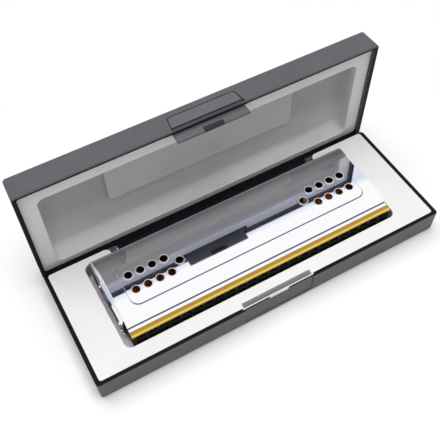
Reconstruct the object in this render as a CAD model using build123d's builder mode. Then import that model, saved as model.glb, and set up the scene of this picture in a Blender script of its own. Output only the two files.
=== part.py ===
"""Hinged harmonica case with a push latch, flocked liners and its harmonica.

Millimetres. +X runs along the case, the latch is at -Y, the hinge at +Y, +Z is up.
The origin is the centre of the base's underside. The case is sized round the
harmonica. Everything on the lid is drawn as it lies when the lid is closed, then
turned about the hinge axis to its open stop.
"""

import os
from math import cos, radians, sin, tan

from build123d import *

# ---- Harmonica ----
harp_length = 171.0
harp_slide = 0.8
comb_depth = 53.8
comb_thickness = 9.5
plate_brass = 1.0
cover_sheet = 0.5
cover_rise = 4.5
cover_setback = 3.4
cover_lip = 2.4
cover_end_lip = 0.6
cover_slope_run = 7.1
cover_end_run = 1.4
cover_bend_radius = 1.0
cover_roll_radius = 4.5
cover_roll_drop = 0.9
cover_roll_start = 6.3
cover_back_gap = 0.2
cover_middle_gap = 0.25
emboss_rise = 0.4
emboss_end_margin = 9.9
emboss_margin_front = 0.9
emboss_margin_back = 1.9
emboss_corner = 5.0
emboss_taper = 30.0
ring_rise = 0.25
ring_radius = 3.2
seat_gap = 0.1
hole_radius = 2.3
hole_pitch = 7.27
hole_end_margin = 5.6
hole_row = 5.15
hole_line_shift = 0.25
holes_in_row = 4
chambers = 24
comb_end_wall = 3.3
chamber_wall = 1.45
chamber_web = 1.0
reed_long = 27.0
reed_short = 13.0
reed_width = 2.3
reed_thickness = 0.3
reed_slot_gap = 0.2
reed_start = 2.7
reed_pad_width = 3.4
reed_pad_length = 3.5
rivet_radius = 0.9
rivet_rise = 0.5
tab_width = 4.2
tab_drop = 3.1
tab_shift = 1.4
tab_spread = 13.2
nail_radius = 1.2
nail_rise = 0.7
nail_shank = 0.5
nail_length = 3.2
nail_below_foot = 1.9
corner_notch = 1.2
corner_notch_length = 10.0
plate_nail_start = 2.6
plate_nail_head = 0.9
plate_nail_shank = 0.4
plate_nail_length = 3.5
plate_nail_every = 4
plate_nail_rise = 0.4

# ---- Case, sized round the harmonica ----
end_margin = 24.5
front_margin = 14.25
back_margin = 8.25
base_height = 16.0
wall = 2.3
floor_thickness = 2.1
edge_radius = 1.8
inside_corner = 1.5
rim_edge_radius = 0.4
draft = 1.5
rim_gap = 0.1
back_lip = 0.7
back_lip_drop = 0.5

# ---- Liners ----
tray_thickness = 0.9
tray_drop = 0.3
liner_thickness = 0.8
liner_drop = 2.4
liner_fit = 0.2
liner_edge_radius = 0.5

# ---- Hinge ----
hinge_inset = 1.75
hinge_drop = 3.6
open_angle = 88.3
knuckle_radius = 2.3
knuckle_gap = 0.35
barrel_half = 64.5
barrel_end_gap = 1.2
ear_width = 3.4
strip_end_gap = 0.6
strip_end_share = 0.75
pin_radius = 1.0
pin_fit = 0.04
pin_grip = 9.0
pin_chamfer = 0.2
stop_lug_width = 12.0
stop_lug_thickness = 1.6
stop_lug_place = 80.0
stop_clearance = 0.03
stop_side_gap = 0.12

# ---- Latch ----
window_bottom_half = 22.0
window_top_half = 20.5
window_corner = 2.4
rim_strip = 0.5
window_height = 9.8
panel_side_gap = 0.45
panel_foot_gap = 0.25
panel_head_gap = 0.3
panel_setback = 0.2
plate_half = 23.6
plate_thickness = 1.3
plate_clearance = 0.12
plate_foot_rise = 1.3
plate_head_margin = 0.7
bar_half = 21.7
bar_drop = 5.8
bar_height = 3.7
bar_clearance = 0.3
arm_thickness = 1.1
arm_setback = 0.4
arm_rib_rise = 0.35
latch_pin_radius = 0.75
latch_pin_inset = 1.6
latch_pin_height = 10.7
latch_knuckle_radius = 1.45
latch_knuckle_width = 5.0
lug_width = 2.5
lug_gap = 0.3
tooth_width = 11.6
tooth_height = 1.3
tooth_reach = 0.9
strike_clearance = 0.2
strike_lip = 1.4
notch_width = 12.8
relief_side_margin = 1.0
relief_depth = 0.9
scoop_width = 44.0
scoop_depth = 0.7
scoop_foot = 2.4
scoop_corner = 1.0
slot_side_gap = 0.4
slot_width = 3.1
slot_below_bar = 2.7
spring_thickness = 0.3
spring_width = 10.0
spring_bend = 1.1
spring_foot_rise = 4.9
spring_rib_inset = 6.5
spring_rib_thickness = 0.9

# ---- Recess in the tray ----
recess_side_gap = 2.1
recess_front_gap = 2.5
recess_back_gap = 2.4
recess_corner = 4.0
recess_floor_radius = 1.5

# ---- Pan of the lid liner ----
pan_end_margin = 9.0
pan_front_gap = 2.0
pan_back_gap = 1.0
pan_front_radius = 5.0
pan_side_radius = 4.0
pan_back_radius = 5.0
boss_end_margin = 25.5
boss_front_margin = 0.8
boss_depth = 32.7
boss_clearance = 0.5
boss_pad = 2.5
boss_corner = 3.0
boss_edge_radius = 0.8

# Derived places
case_length = harp_length + 2 * end_margin
case_depth = front_margin + comb_depth + back_margin
inside_length = case_length - 2 * wall
inside_depth = case_depth - 2 * wall
front_face = -case_depth / 2
front_inner = front_face + wall
back_face = case_depth / 2
back_inner = back_face - wall
rebate_back = back_face - back_lip
rim_z = base_height
lid_rim_z = base_height + rim_gap
hinge_y = back_face - hinge_inset
hinge_z = rim_z - hinge_drop
hinge_opening_z = hinge_z - knuckle_radius - knuckle_gap
ear_start = barrel_half + barrel_end_gap
ear_end = ear_start + ear_width
hinge_axis = Axis((0, hinge_y, hinge_z), (1, 0, 0))

tray_top = rim_z - tray_drop
tray_under = tray_top - tray_thickness
recess_floor = floor_thickness + tray_thickness
mouth_place = front_face + front_margin
comb_back = mouth_place + comb_depth
comb_middle = (mouth_place + comb_back) / 2
comb_half = harp_length / 2 - cover_sheet
cover_front = mouth_place + cover_setback
cover_back = comb_back + cover_back_gap + cover_sheet
cover_end = harp_length / 2
cover_top_rise = cover_rise + emboss_rise + ring_rise
half_thickness = comb_thickness / 2 + plate_brass + cover_top_rise
harp_z = recess_floor + seat_gap + half_thickness
comb_top = harp_z + comb_thickness / 2
cover_foot = comb_top + plate_brass
crown_z = cover_foot + cover_rise
harp_top = harp_z + half_thickness
slope_start = cover_front + cover_lip
crown_front = slope_start + cover_slope_run
crown_back = cover_back - cover_roll_radius - cover_roll_start
crown_half = cover_end - cover_end_lip - cover_end_run
emboss_front = crown_front + emboss_margin_front
emboss_back = crown_back - emboss_margin_back
emboss_middle = (emboss_front + emboss_back) / 2
emboss_half_length = cover_end - emboss_end_margin
notch_y = mouth_place + corner_notch_length
notch_half = comb_half - corner_notch

flange_z = lid_rim_z + liner_drop
boss_z = harp_top + boss_clearance
pan_ceiling = boss_z + boss_pad
ceiling_z = pan_ceiling + liner_thickness + 0.1
roof_z = ceiling_z + wall
lid_height = roof_z - lid_rim_z

window_foot = lid_rim_z + rim_strip
window_head = window_foot + window_height
latch_axis_y = front_inner + latch_pin_inset
latch_axis_z = lid_rim_z + latch_pin_height
plate_foot = lid_rim_z + plate_foot_rise
plate_front = front_inner + plate_clearance
plate_back = plate_front + plate_thickness
bar_foot = lid_rim_z - bar_drop
bar_front = front_inner + bar_clearance
arm_front = bar_front + arm_setback
arm_back = arm_front + arm_thickness
tooth_top = bar_foot + tooth_height
strike_z = tooth_top + strike_clearance
relief_z = strike_z + strike_lip
slot_half = bar_half + slot_side_gap
slot_floor = bar_foot - slot_below_bar
slot_back = front_inner + slot_width
latch_relief_half = slot_half + relief_side_margin
spring_foot = lid_rim_z + spring_foot_rise
spring_rib_place = front_inner + spring_rib_inset


def placed_box(x_low, x_high, y_low, y_high, z_low, z_high, mode=Mode.ADD):
    """A box between two corners, added to or cut from the part being built."""
    with Locations(((x_low + x_high) / 2, (y_low + y_high) / 2, (z_low + z_high) / 2)):
        Box(x_high - x_low, y_high - y_low, z_high - z_low, mode=mode)


def rod_along_x(x_low, x_high, y, z, radius, mode=Mode.ADD):
    """A round bar parallel to the hinge, added to or cut from the part being built."""
    with BuildSketch(Plane.YZ.offset(x_low)) as section:
        with Locations((y, z)):
            Circle(radius)
    extrude(section.sketch, amount=x_high - x_low, mode=mode)


def section_along_x(points, x_low, x_high, mode=Mode.ADD):
    """A straight-sided section in Y and Z, extruded along the case."""
    with BuildSketch(Plane.YZ.offset(x_low)) as section:
        with BuildLine():
            Polyline(*points, close=True)
        make_face()
    extrude(section.sketch, amount=x_high - x_low, mode=mode)


def both_ends(low, high):
    """The same stretch of X at the left and at the right end."""
    return ((-high, -low), (low, high))


# ---- Base shell: a moulded tub with draft ----
with BuildPart() as base_shell:
    with BuildSketch(Plane.XY.offset(rim_z)):
        Rectangle(case_length, case_depth)
    extrude(amount=-base_height, taper=draft)
    fillet(base_shell.edges().filter_by(lambda edge: edge.center().Z < rim_z - 1), edge_radius)
    fillet(base_shell.faces().sort_by(Axis.Z)[-1].edges(), rim_edge_radius)
    with BuildSketch(Plane.XY.offset(floor_thickness)):
        RectangleRounded(inside_length, inside_depth, inside_corner)
    extrude(amount=base_height, mode=Mode.SUBTRACT)
    # the back wall is stepped down inside a thin lip, and the tray's strip lies on the step
    with BuildSketch(Plane.XY.offset(tray_under)):
        with Locations((0, (front_inner + rebate_back) / 2)):
            RectangleRounded(inside_length, rebate_back - front_inner, inside_corner)
    extrude(amount=base_height, mode=Mode.SUBTRACT)
    # the lip and the back corners are a little lower, so that the turning lid clears them
    placed_box(-case_length / 2 - 1, case_length / 2 + 1, rebate_back - 1, back_face + 1,
               rim_z - back_lip_drop, rim_z + 1, Mode.SUBTRACT)
    # shallow thumb recess below the latch, open at the rim
    with BuildSketch(Plane.XZ.offset(-front_face)):
        with Locations((0, (scoop_foot + rim_z + 1) / 2)):
            Rectangle(scoop_width, rim_z + 1 - scoop_foot)
        fillet(vertices().group_by(Axis.Y)[0], scoop_corner)
    extrude(amount=-scoop_depth, mode=Mode.SUBTRACT)
    # the inner half of the rim steps down where the liner and the latch bar go in
    placed_box(-latch_relief_half, latch_relief_half, front_inner - relief_depth,
               front_inner, relief_z, rim_z, Mode.SUBTRACT)
    placed_box(-notch_width / 2, notch_width / 2, front_face - 1, front_inner,
               relief_z, rim_z, Mode.SUBTRACT)
    # undercut that the latch tooth snaps into, below the strike lip
    placed_box(-notch_width / 2, notch_width / 2,
               bar_front - tooth_reach - strike_clearance, front_inner,
               bar_foot - 0.4, strike_z, Mode.SUBTRACT)
    # the back wall opens for the lid's barrel, between two ears
    placed_box(-ear_start, ear_start, back_inner - 1, back_face + 1,
               hinge_opening_z, rim_z + 1, Mode.SUBTRACT)
    for ends in both_ends(ear_start, ear_end):
        rod_along_x(*ends, hinge_y, hinge_z, knuckle_radius)
        rod_along_x(*ends, hinge_y, hinge_z, pin_radius, Mode.SUBTRACT)

# ---- Hinge pins: two short steel pins, pressed into the ears ----
with BuildPart() as hinge_pins:
    for ends in both_ends(barrel_half - pin_grip, ear_end):
        rod_along_x(*ends, hinge_y, hinge_z, pin_radius)
    chamfer(hinge_pins.edges().filter_by(GeomType.CIRCLE), pin_chamfer)

# ---- Base tray: flocked sheet with the harmonica's recess and the latch slot ----
recess_half = harp_length / 2 + recess_side_gap
recess_front = mouth_place - recess_front_gap
recess_back = cover_back + recess_back_gap
recess_middle = (recess_front + recess_back) / 2
recess_width = recess_back - recess_front
tray_front = front_inner + liner_fit
tray_back = rebate_back - liner_fit / 2
strip_cut_half = ear_end + strip_end_gap
strip_end_radius = strip_end_share * (tray_back - recess_back)

with BuildPart() as recess_form:
    with BuildSketch(Plane.XY.offset(recess_floor)):
        with Locations((0, recess_middle)):
            RectangleRounded(2 * recess_half, recess_width, recess_corner)
    extrude(amount=tray_top - recess_floor)
    fillet(recess_form.faces().sort_by(Axis.Z)[0].edges(), recess_floor_radius)

with BuildPart() as base_tray:
    with BuildSketch(Plane.XY.offset(tray_under)):
        with Locations((0, (tray_front + tray_back) / 2)):
            RectangleRounded(inside_length - 2 * liner_fit, tray_back - tray_front,
                             inside_corner)
    extrude(amount=tray_thickness)
    with BuildSketch(Plane.XY.offset(floor_thickness)):
        with Locations((0, recess_middle)):
            RectangleRounded(2 * (recess_half + tray_thickness),
                             recess_width + 2 * tray_thickness,
                             recess_corner + tray_thickness)
    extrude(amount=tray_under - floor_thickness)
    placed_box(-slot_half - tray_thickness, slot_half + tray_thickness,
               tray_front, slot_back + tray_thickness,
               slot_floor - tray_thickness, tray_under)
    add(recess_form.part, mode=Mode.SUBTRACT)
    recess_rim = base_tray.edges().group_by(Axis.Z)[-1]
    recess_rim = recess_rim.filter_by(lambda edge: abs(edge.center().X) < recess_half + 0.1)
    recess_rim = recess_rim.filter_by(
        lambda edge: recess_front - 0.1 < edge.center().Y < recess_back + 0.1)
    fillet(recess_rim, liner_edge_radius)
    placed_box(-slot_half, slot_half, front_inner - 1, slot_back,
               slot_floor, tray_top + 1, Mode.SUBTRACT)
    # thin upstand in the rim's step, in front of the slot
    upstand_half = latch_relief_half - liner_fit
    placed_box(-upstand_half, upstand_half, front_inner - relief_depth + 0.05,
               front_inner - 0.15, relief_z + 0.1, tray_top)
    for ends in both_ends(slot_half, upstand_half):
        placed_box(*ends, front_inner - 0.3, front_inner + 1.0, relief_z + 0.1, tray_top)
    # the back strip and the upper part of the recess's back wall stop short of the barrel
    placed_box(-strip_cut_half, strip_cut_half, recess_back - 1, back_face,
               hinge_opening_z, rim_z, Mode.SUBTRACT)
    strip_ends = base_tray.edges().filter_by(Axis.Z)
    strip_ends = strip_ends.filter_by(
        lambda edge: abs(abs(edge.center().X) - strip_cut_half) < 0.01)
    strip_ends = strip_ends.filter_by(lambda edge: edge.center().Z > tray_under)
    fillet(strip_ends, strip_end_radius)

# ---- Lid shell: drawn closed ----
base_lean = tan(radians(draft))
lug_inner = back_face + stop_side_gap
lug_outer = lug_inner + stop_lug_thickness
rib_low = spring_foot + 1.6
rib_back = spring_rib_place + spring_rib_thickness


def heel_foot(lug_face):
    """Foot of a heel, drawn closed, that lands on the base's back face when opened."""
    landing_z = hinge_z - (lug_face - hinge_y)
    landing_y = back_face - base_lean * (rim_z - landing_z) + stop_clearance
    turn = radians(open_angle)
    reach_y = landing_y - hinge_y
    reach_z = landing_z - hinge_z
    return (hinge_y + reach_y * cos(turn) - reach_z * sin(turn),
            hinge_z + reach_y * sin(turn) + reach_z * cos(turn))


with BuildPart() as lid_shell:
    with BuildSketch(Plane.XY.offset(lid_rim_z)):
        Rectangle(case_length, case_depth)
    extrude(amount=lid_height, taper=draft)
    fillet(lid_shell.edges().filter_by(lambda edge: edge.center().Z > lid_rim_z + 1),
           edge_radius)
    with BuildSketch(Plane.XY.offset(ceiling_z)):
        RectangleRounded(inside_length, inside_depth, inside_corner)
    extrude(amount=-lid_height, mode=Mode.SUBTRACT)
    # window for the latch panel, narrower towards the roof
    with BuildSketch(Plane.XZ.offset(-front_face + 1)):
        with BuildLine():
            Polyline((-window_bottom_half, window_foot), (window_bottom_half, window_foot),
                     (window_top_half, window_head), (-window_top_half, window_head),
                     close=True)
        make_face()
        fillet(vertices().group_by(Axis.Y)[-1], window_corner)
    extrude(amount=-wall - 1.2, mode=Mode.SUBTRACT)
    # barrel between the ears, on a web that carries the back wall down to it
    placed_box(-barrel_half, barrel_half, back_inner, back_face, hinge_z, lid_rim_z + 1)
    rod_along_x(-barrel_half, barrel_half, hinge_y, hinge_z, knuckle_radius)
    for ends in both_ends(barrel_half - pin_grip - 0.5, barrel_half + 1):
        rod_along_x(*ends, hinge_y, hinge_z, pin_radius + pin_fit, Mode.SUBTRACT)
    # two heels that meet the base's back face and hold the lid at its open angle
    for ends in both_ends(stop_lug_place - stop_lug_width / 2,
                          stop_lug_place + stop_lug_width / 2):
        section_along_x([heel_foot(lug_inner), heel_foot(lug_outer),
                         (lug_outer, lid_rim_z + 1.5), (back_face - 0.4, lid_rim_z + 6),
                         (back_face - 0.6, lid_rim_z), (lug_inner, lid_rim_z)], *ends)
    # lugs that carry the latch pin
    for ends in both_ends(plate_half + lug_gap, plate_half + lug_gap + lug_width):
        section_along_x([(front_inner, ceiling_z), (front_inner, latch_axis_z - 2.4),
                         (latch_axis_y + 0.6, latch_axis_z - 1.8),
                         (latch_axis_y + 1.8, latch_axis_z), (latch_axis_y + 1.8, ceiling_z)],
                        *ends)
        rod_along_x(*ends, latch_axis_y, latch_axis_z, latch_pin_radius, Mode.SUBTRACT)
    # rib that holds the latch spring, with a lip at each side of the leaf
    placed_box(-spring_width / 2 - 2, spring_width / 2 + 2, spring_rib_place, rib_back,
               rib_low, ceiling_z)
    for ends in both_ends(spring_width / 2 + 0.1, spring_width / 2 + 2):
        placed_box(*ends, spring_rib_place - 2 * spring_thickness, spring_rib_place,
                   rib_low, ceiling_z)

# ---- Latch: panel, hinge plate and hook bar moulded in one ----
window_slope = (window_bottom_half - window_top_half) / window_height
panel_foot = window_foot + panel_foot_gap
panel_head = window_head - panel_head_gap
panel_foot_half = window_bottom_half - panel_side_gap - window_slope * panel_foot_gap
panel_head_half = window_top_half - panel_side_gap + window_slope * panel_head_gap
plate_head = latch_axis_z + plate_head_margin
tooth_tip = bar_front - tooth_reach

with BuildPart() as latch_button:
    with BuildSketch(Plane.XZ.offset(-front_face - panel_setback)):
        with BuildLine():
            Polyline((-panel_foot_half, panel_foot), (panel_foot_half, panel_foot),
                     (panel_head_half, panel_head), (-panel_head_half, panel_head), close=True)
        make_face()
        fillet(vertices().group_by(Axis.Y)[-1], window_corner - panel_head_gap)
    extrude(amount=-(plate_front - front_face - panel_setback))
    chamfer(latch_button.faces().sort_by(Axis.Y)[0].edges(), 0.3)
    placed_box(-plate_half, plate_half, plate_front, plate_back, plate_foot, plate_head)
    for ends in both_ends(plate_half - latch_knuckle_width, plate_half):
        rod_along_x(*ends, latch_axis_y, latch_axis_z, latch_knuckle_radius)
    placed_box(-plate_half, plate_half, plate_front - 1, plate_front,
               latch_axis_z - latch_knuckle_radius, latch_axis_z + latch_knuckle_radius,
               Mode.SUBTRACT)
    placed_box(-panel_head_half + 1, panel_head_half - 1, plate_front - 0.6, plate_front,
               panel_head - 2, panel_head)
    # arm, thickened to a bar at its end
    placed_box(-bar_half, bar_half, arm_front, arm_back, bar_foot, plate_foot + 1)
    placed_box(-bar_half, bar_half, bar_front, arm_back, bar_foot, bar_foot + bar_height)
    # hook tooth with a lead-in below and a flat catch above
    section_along_x([(bar_front, tooth_top), (tooth_tip, tooth_top),
                     (tooth_tip, tooth_top - 0.5), (bar_front, bar_foot)],
                    -tooth_width / 2, tooth_width / 2)
    rod_along_x(-plate_half, plate_half, latch_axis_y, latch_axis_z,
                latch_pin_radius + pin_fit, Mode.SUBTRACT)
    placed_box(-plate_half + latch_knuckle_width, plate_half - latch_knuckle_width,
               plate_front - 0.2, plate_back + 0.2, latch_axis_z - 1.1, plate_head + 0.2,
               Mode.SUBTRACT)
    # ribs on the back of the arm stiffen it
    with GridLocations(9.0, 1, 5, 1):
        with Locations((0, arm_back + arm_rib_rise / 2,
                        (bar_foot + bar_height + plate_foot) / 2)):
            Box(0.9, arm_rib_rise, plate_foot - bar_foot - bar_height)

# ---- Latch pin ----
pin_end = plate_half + lug_gap + lug_width
with BuildPart() as latch_pin:
    rod_along_x(-pin_end, pin_end, latch_axis_y, latch_axis_z, latch_pin_radius)

# ---- Latch spring: a folded steel leaf between the rib and the plate ----
leaf_line = spring_rib_place - spring_thickness / 2
leaf_tip = plate_back + spring_thickness / 2 + 0.05
with BuildPart() as latch_spring:
    with BuildSketch(Plane.YZ.offset(-spring_width / 2)) as leaf_section:
        with BuildLine() as leaf_path:
            FilletPolyline((leaf_line, rib_low), (leaf_line, latch_axis_z - 0.4),
                           (leaf_line - 2.6 * spring_bend, latch_axis_z - 0.4),
                           (leaf_tip, spring_foot), (leaf_tip + 1.2, spring_foot - 1.4),
                           radius=spring_bend * 0.8)
        trace(leaf_path.line, line_width=spring_thickness)
    extrude(leaf_section.sketch, amount=spring_width)

# ---- Lid liner: a formed sheet with a raised pad over the harmonica ----
pan_half_length = inside_length / 2 - pan_end_margin
pan_front = mouth_place - pan_front_gap
pan_back = cover_back + pan_back_gap
pan_middle = (pan_front + pan_back) / 2
pan_width = pan_back - pan_front
pan_rise = pan_ceiling - flange_z
boss_half_length = harp_length / 2 - boss_end_margin
boss_front = pan_front + boss_front_margin
boss_middle = boss_front + boss_depth / 2

with BuildPart() as pan_form:
    placed_box(-pan_half_length, pan_half_length, pan_front, pan_back, flange_z, pan_ceiling)
    back_top = pan_form.edges().group_by(Axis.Z)[-1].sort_by(Axis.Y)[-1]
    fillet(back_top, pan_back_radius)
    front_top = pan_form.edges().filter_by(Axis.X).group_by(Axis.Z)[-1].sort_by(Axis.Y)[0]
    fillet(front_top, pan_front_radius)
    for side_face in (pan_form.faces().sort_by(Axis.X)[0], pan_form.faces().sort_by(Axis.X)[-1]):
        side_edges = side_face.edges().filter_by(
            lambda edge: edge.center().Z > flange_z + 0.01)
        fillet(side_edges, pan_side_radius)

with BuildPart() as boss_form:
    with BuildSketch(Plane.XY.offset(boss_z)):
        with Locations((0, boss_middle)):
            RectangleRounded(2 * boss_half_length, boss_depth, boss_corner)
    extrude(amount=pan_ceiling + liner_thickness - boss_z)
    fillet(boss_form.faces().sort_by(Axis.Z)[0].edges(), boss_edge_radius)

liner_cut_half = plate_half + 1.9
liner_cut_back = arm_back + 1.5

with BuildPart() as lid_liner:
    with BuildSketch(Plane.XY.offset(flange_z)):
        RectangleRounded(inside_length - 2 * liner_fit, inside_depth - 2 * liner_fit,
                         inside_corner)
    extrude(amount=liner_thickness)
    with BuildSketch(Plane.XY.offset(flange_z)):
        with Locations((0, pan_middle)):
            RectangleRounded(2 * (pan_half_length + liner_thickness),
                             pan_width + 2 * liner_thickness, pan_side_radius)
    extrude(amount=pan_rise + liner_thickness)
    chamfer(lid_liner.faces().sort_by(Axis.Z)[-1].edges(), 2.0)
    add(pan_form.part, mode=Mode.SUBTRACT)
    # the pad is formed in the same sheet, so it is hollow behind
    add(boss_form.part)
    with BuildSketch(Plane.XY.offset(boss_z + liner_thickness)):
        with Locations((0, boss_middle)):
            RectangleRounded(2 * (boss_half_length - liner_thickness),
                             boss_depth - 2 * liner_thickness,
                             boss_corner - liner_thickness)
    extrude(amount=liner_thickness + pan_ceiling - boss_z, mode=Mode.SUBTRACT)
    placed_box(-liner_cut_half, liner_cut_half, front_inner - 1, liner_cut_back,
               flange_z - 1, flange_z + liner_thickness + 1, Mode.SUBTRACT)
    pan_rim = lid_liner.edges().group_by(Axis.Z)[0]
    pan_rim = pan_rim.filter_by(lambda edge: abs(edge.center().X) < pan_half_length + 0.1)
    pan_rim = pan_rim.filter_by(
        lambda edge: pan_front - 0.1 < edge.center().Y < pan_back + 0.1)
    fillet(pan_rim, liner_edge_radius)

# ---- Comb: a block with a row of chambers open at the top and one at the bottom ----
chamber_depth = (comb_thickness - chamber_web) / 2
reed_step = (reed_long - reed_short) / (chambers - 1)
reed_front = slope_start + reed_start
chamber_pitch = (harp_length - 2 * comb_end_wall) / chambers
chamber_width = chamber_pitch - chamber_wall


def chamber_x(number):
    """Middle of a chamber, counted from the left, low notes first."""
    return (number - (chambers - 1) / 2) * chamber_pitch


def reed_length(number):
    """Length of a reed from its tip to the start of its pad."""
    return reed_long - number * reed_step


# plan of the comb and the plates, narrower at the mouth side's two corners
with BuildSketch() as mouth_plan:
    with BuildLine():
        Polyline((-notch_half, mouth_place), (notch_half, mouth_place), (notch_half, notch_y),
                 (comb_half, notch_y), (comb_half, comb_back), (-comb_half, comb_back),
                 (-comb_half, notch_y), (-notch_half, notch_y), close=True)
    make_face()

tab_middle = comb_middle - tab_shift
nail_places = [(tab_middle - tab_spread, 1), (tab_middle + tab_spread, 1),
               (tab_middle - tab_spread, -1), (tab_middle + tab_spread, -1)]
tab_low = cover_foot - tab_drop
nail_drop = cover_foot - nail_below_foot - harp_z
plate_nail_numbers = range(plate_nail_every - 1, chambers - 1, plate_nail_every)
plate_nail_y = slope_start + plate_nail_start
plate_nail_depth = plate_nail_length - plate_brass
shank_start = comb_half - nail_length

with BuildPart() as comb:
    with BuildSketch(Plane.XY.offset(harp_z - comb_thickness / 2)):
        add(mouth_plan.sketch)
    extrude(amount=comb_thickness)
    for number in range(chambers):
        chamber_end = reed_front + reed_length(number) + 1
        for z_low, z_high in ((comb_top - chamber_depth, comb_top + 1),
                              (harp_z - comb_thickness / 2 - 1,
                               harp_z - chamber_web / 2)):
            placed_box(chamber_x(number) - chamber_width / 2,
                       chamber_x(number) + chamber_width / 2,
                       mouth_place - 1, chamber_end, z_low, z_high, Mode.SUBTRACT)
    for nail_y, up in nail_places:
        for ends in both_ends(shank_start, comb_half + 1):
            rod_along_x(*ends, nail_y, harp_z + up * nail_drop, nail_shank, Mode.SUBTRACT)
    for number in plate_nail_numbers:
        for up in (1, -1):
            nail_z = harp_z + up * (comb_thickness / 2 - plate_nail_depth / 2)
            with Locations((chamber_x(number) + chamber_pitch / 2, plate_nail_y, nail_z)):
                Cylinder(plate_nail_shank, plate_nail_depth, mode=Mode.SUBTRACT)

# ---- Reed plates and reeds ----
with BuildPart() as upper_reed_plate:
    with BuildSketch(Plane.XY.offset(comb_top)):
        add(mouth_plan.sketch)
        for number in range(chambers):
            slot_length = reed_length(number) + reed_slot_gap
            with Locations((chamber_x(number),
                            reed_front - reed_slot_gap + slot_length / 2)):
                Rectangle(reed_width + 2 * reed_slot_gap, slot_length, mode=Mode.SUBTRACT)
        with Locations(*[(chamber_x(number) + chamber_pitch / 2, plate_nail_y)
                         for number in plate_nail_numbers]):
            Circle(plate_nail_shank, mode=Mode.SUBTRACT)
    extrude(amount=plate_brass)

with BuildPart() as upper_reeds:
    for number in range(chambers):
        pad_y = reed_front + reed_length(number) + reed_pad_length / 2
        with BuildSketch(Plane.XY.offset(cover_foot)):
            with Locations((chamber_x(number), reed_front + reed_length(number) / 2)):
                Rectangle(reed_width, reed_length(number))
            with Locations((chamber_x(number), pad_y)):
                Rectangle(reed_pad_width, reed_pad_length)
        extrude(amount=reed_thickness)
        with BuildSketch(Plane.XY.offset(cover_foot + reed_thickness)):
            with Locations((chamber_x(number), pad_y)):
                Circle(rivet_radius)
        extrude(amount=rivet_rise)

# ---- Covers: pressed sheet with a rolled back, an embossed field and rimmed holes ----
cover_low = harp_z + cover_middle_gap
slope_foot = cover_foot + cover_sheet
slope_peak = crown_z + 4
slope_reach = crown_half - 4 * cover_end_run / (crown_z - slope_foot)
hole_outer = emboss_half_length - hole_end_margin
hole_line = emboss_middle + hole_line_shift
hole_places = [(side * (hole_outer - step * hole_pitch), hole_line + row * hole_row)
               for side in (-1, 1) for row in (-1, 1) for step in range(holes_in_row)]
hole_places += [(side * (hole_outer - holes_in_row * hole_pitch), hole_line)
                for side in (-1, 1)]


def cover_form(inset):
    """The cover's outer form, or its inside when inset by the sheet's thickness."""
    with BuildPart(mode=Mode.PRIVATE) as form:
        with BuildSketch(Plane.YZ.offset(-cover_end - 2)) as profile:
            with BuildLine():
                Polyline((cover_front, cover_low - 5), (cover_front, slope_foot),
                         (cover_front + cover_lip, slope_foot),
                         (crown_front, crown_z), (crown_back, crown_z),
                         (cover_back - cover_roll_radius, crown_z - cover_roll_drop),
                         (cover_back, crown_z - cover_roll_drop), (cover_back, cover_low - 5),
                         close=True)
            make_face()
            roll = profile.vertices().group_by(Axis.X)[-1].sort_by(Axis.Y)[-1]
            fillet(roll, cover_roll_radius - 0.1)
            if inset:
                offset(amount=-inset)
        extrude(profile.sketch, amount=2 * cover_end + 4)
        # the ends slope on past the crown, so that only the slopes trim the form
        with BuildSketch(Plane.XZ.offset(-cover_back - 1)) as ends:
            with BuildLine():
                Polyline((-cover_end, cover_low - 9), (-cover_end, slope_foot),
                         (cover_end_lip - cover_end, slope_foot),
                         (-slope_reach, slope_peak), (slope_reach, slope_peak),
                         (cover_end - cover_end_lip, slope_foot),
                         (cover_end, slope_foot), (cover_end, cover_low - 9),
                         close=True)
            make_face()
            if inset:
                offset(amount=-inset)
        extrude(ends.sketch, amount=cover_back - cover_front + 2, mode=Mode.INTERSECT)
        crown_bends = form.faces().sort_by(Axis.Z)[-1].edges()
        fillet(crown_bends, cover_bend_radius - inset)
    return form.part


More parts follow.
